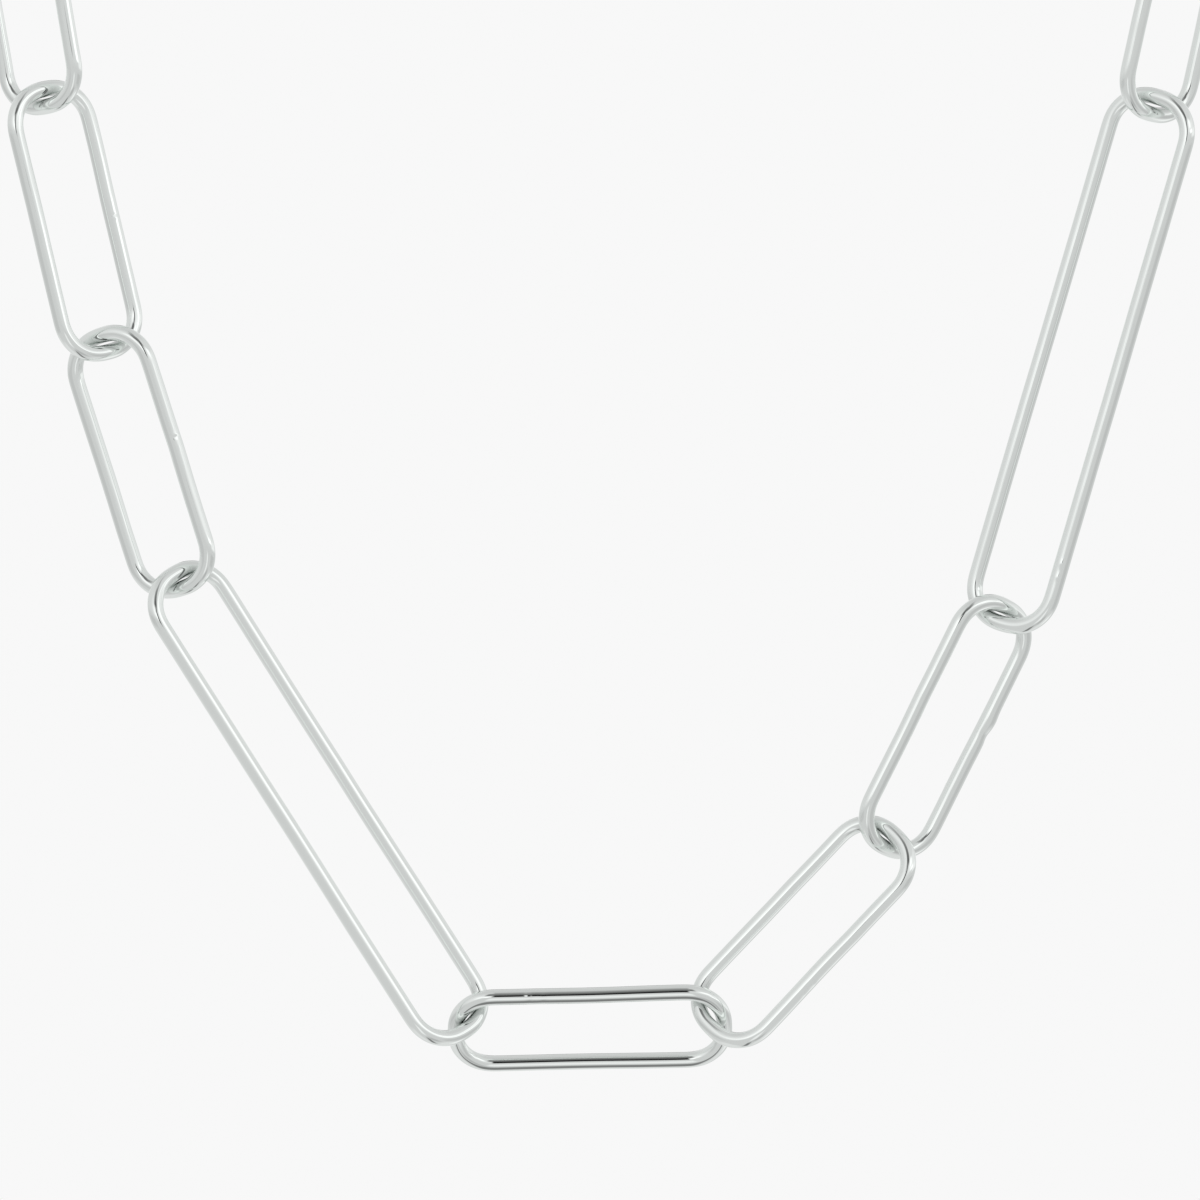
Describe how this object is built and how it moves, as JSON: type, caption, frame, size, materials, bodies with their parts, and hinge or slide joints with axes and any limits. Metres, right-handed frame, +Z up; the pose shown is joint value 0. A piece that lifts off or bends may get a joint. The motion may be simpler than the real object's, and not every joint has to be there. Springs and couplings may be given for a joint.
{
  "type": "paperclip chain necklace",
  "caption": "Necklace chain of long and short round-wire paperclip links, worn closed with a plain clasp at the nape.",
  "frame": {"origin": "at the nape, where the chain hangs on the back of the neck", "axes": "+X to the viewer's right seen from the front, +Y to the back, +Z up"},
  "size_m": [0.1001, 0.0999, 0.1306],
  "materials": {
    "silver": "polished",
    "clasp_silver": "polished"
  },
  "bodies": {
    "root": {"link_01": "silver", "link_02": "silver", "link_03": "silver", "link_04": "silver", "link_05": "silver", "link_06": "silver", "link_07": "silver", "link_08": "silver", "link_09": "silver", "link_10": "silver", "link_11": "silver", "link_12": "silver", "link_13": "silver", "link_14": "silver", "link_15": "silver", "link_16": "silver", "link_17": "silver", "link_18": "silver", "link_19": "silver", "link_20": "silver", "link_21": "silver", "link_22": "silver", "clasp": "clasp_silver"}
  },
  "joints": []
}
